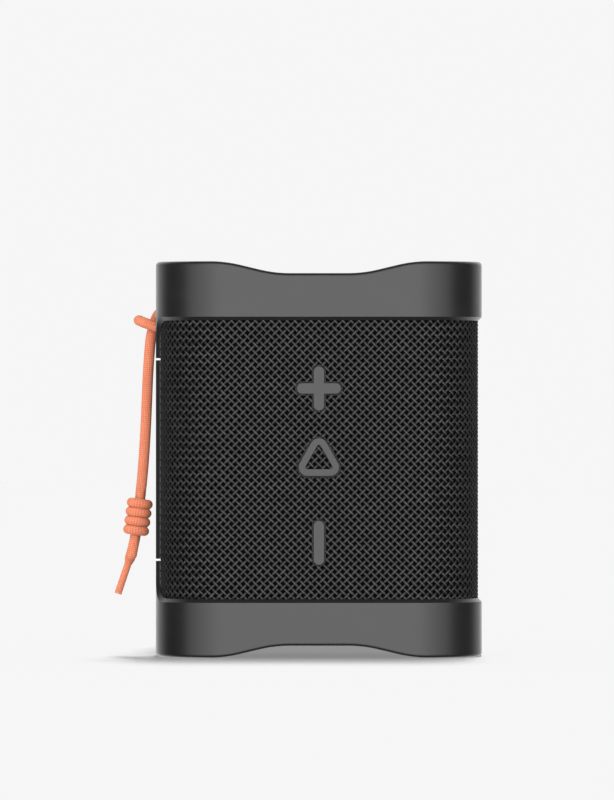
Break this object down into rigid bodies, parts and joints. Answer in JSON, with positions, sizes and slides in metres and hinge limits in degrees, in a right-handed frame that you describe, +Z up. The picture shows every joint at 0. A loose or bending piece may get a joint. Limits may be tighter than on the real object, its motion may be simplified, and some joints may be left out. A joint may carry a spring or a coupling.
{
  "type": "portable speaker",
  "caption": "Upright weatherproof speaker: C-shaped plastic shell with scooped ends, open-weave fabric wrap, raised keys and a cord lanyard.",
  "frame": {"origin": "middle of the footprint, on the surface the speaker stands on", "axes": "+Z up, the front with the three keys faces -Y, the spine with the lanyard is on the -X side"},
  "size_m": [0.1115, 0.056, 0.12],
  "materials": {
    "shell_plastic": "fine satin moulded texture",
    "cup_plastic": "satin",
    "mark_white": "smooth",
    "bar_steel": "turned",
    "speaker_fabric": "open plain weave laid diagonally",
    "carrier_plastic": "matt black",
    "housing_plastic": "matt",
    "seal_rubber": "matt",
    "screw_steel": "plated",
    "basket_metal": "powder coated",
    "magnet_ferrite": "sintered",
    "yoke_steel": "zinc plated",
    "cone_plastic": "pressed cone",
    "surround_rubber": "matt",
    "spider_cloth": "resin stiffened",
    "radiator_metal": "anodised",
    "cell_foil": "foil pouch",
    "strap_plastic": "matt",
    "board_laminate": "solder mask",
    "component_black": "moulded",
    "socket_steel": "stamped",
    "light_lens": "diffusing",
    "key_rubber": "satin moulded",
    "side_key_rubber": "satin moulded",
    "cord_nylon": "braided"
  },
  "bodies": {
    "speaker": {"shell_frame": "shell_plastic", "lanyard_cup": "cup_plastic", "side_marks": "mark_white", "lanyard_bar": "bar_steel", "grille_fabric": "speaker_fabric", "grille_carrier": "carrier_plastic", "front_housing": "housing_plastic", "rear_housing": "housing_plastic", "housing_seal": "seal_rubber", "housing_screws": "screw_steel", "driver_left_basket": "basket_metal", "driver_right_basket": "basket_metal", "driver_left_magnet": "magnet_ferrite", "driver_right_magnet": "magnet_ferrite", "driver_left_yoke": "yoke_steel", "driver_right_yoke": "yoke_steel", "driver_left_surround": "surround_rubber", "driver_right_surround": "surround_rubber", "radiator_surround": "surround_rubber", "driver_left_spider": "spider_cloth", "driver_right_spider": "spider_cloth", "radiator_frame": "radiator_metal", "battery_cell": "cell_foil", "battery_strap": "strap_plastic", "main_board": "board_laminate", "button_board": "board_laminate", "side_board": "board_laminate", "antenna": "board_laminate", "board_components": "component_black", "front_switches": "component_black", "side_switches": "component_black", "usb_socket": "socket_steel", "status_light": "light_lens"},
    "plus_key": {"plus_button": "key_rubber"},
    "play_key": {"play_button": "key_rubber", "play_patch": "speaker_fabric"},
    "minus_key": {"minus_button": "key_rubber"},
    "power_key": {"power_button": "side_key_rubber"},
    "link_key": {"link_button": "side_key_rubber"},
    "port_flap": {"port_door": "seal_rubber"},
    "left_cone": {"driver_left_cone": "cone_plastic"},
    "right_cone": {"driver_right_cone": "cone_plastic"},
    "radiator": {"radiator_plate": "radiator_metal"},
    "lanyard": {"lanyard_strand_front": "cord_nylon", "lanyard_strand_back": "cord_nylon", "lanyard_tail_front": "cord_nylon", "lanyard_tail_back": "cord_nylon", "lanyard_knot": "cord_nylon"}
  },
  "joints": [
    {"name": "plus_press", "type": "slide", "parent": "speaker", "child": "plus_key", "axis": [0, 1, 0], "range_m": [0, 0.0005], "stiffness_N_per_m": 400, "springref_m": -0.0005},
    {"name": "play_press", "type": "slide", "parent": "speaker", "child": "play_key", "axis": [0, 1, 0], "range_m": [0, 0.0005], "stiffness_N_per_m": 400, "springref_m": -0.0005},
    {"name": "minus_press", "type": "slide", "parent": "speaker", "child": "minus_key", "axis": [0, 1, 0], "range_m": [0, 0.0005], "stiffness_N_per_m": 400, "springref_m": -0.0005},
    {"name": "power_press", "type": "slide", "parent": "speaker", "child": "power_key", "axis": [1, 0, 0], "range_m": [0, 0.0005], "stiffness_N_per_m": 400, "springref_m": -0.0005},
    {"name": "link_press", "type": "slide", "parent": "speaker", "child": "link_key", "axis": [1, 0, 0], "range_m": [0, 0.0005], "stiffness_N_per_m": 400, "springref_m": -0.0005},
    {"name": "port_door_hinge", "type": "hinge", "parent": "speaker", "child": "port_flap", "pos_m": [0, 0.02705, 0.00675], "axis": [-1, 0, 0], "range_deg": [0, 95], "stiffness_Nm_per_rad": 0.0004},
    {"name": "left_cone_travel", "type": "slide", "parent": "speaker", "child": "left_cone", "axis": [0, 1, 0], "range_m": [-0.0012, 0.0012], "stiffness_N_per_m": 500, "deforming": ["driver_left_surround", "driver_left_spider"]},
    {"name": "right_cone_travel", "type": "slide", "parent": "speaker", "child": "right_cone", "axis": [0, 1, 0], "range_m": [-0.0012, 0.0012], "stiffness_N_per_m": 500, "deforming": ["driver_right_surround", "driver_right_spider"]},
    {"name": "radiator_travel", "type": "slide", "parent": "speaker", "child": "radiator", "axis": [0, 1, 0], "range_m": [-0.002, 0.002], "stiffness_N_per_m": 600, "deforming": ["radiator_surround"]},
    {"name": "lanyard_swing", "type": "hinge", "parent": "speaker", "child": "lanyard", "pos_m": [-0.0468, 0, 0.1025], "axis": [0, 1, 0], "range_deg": [0, 50]}
  ]
}
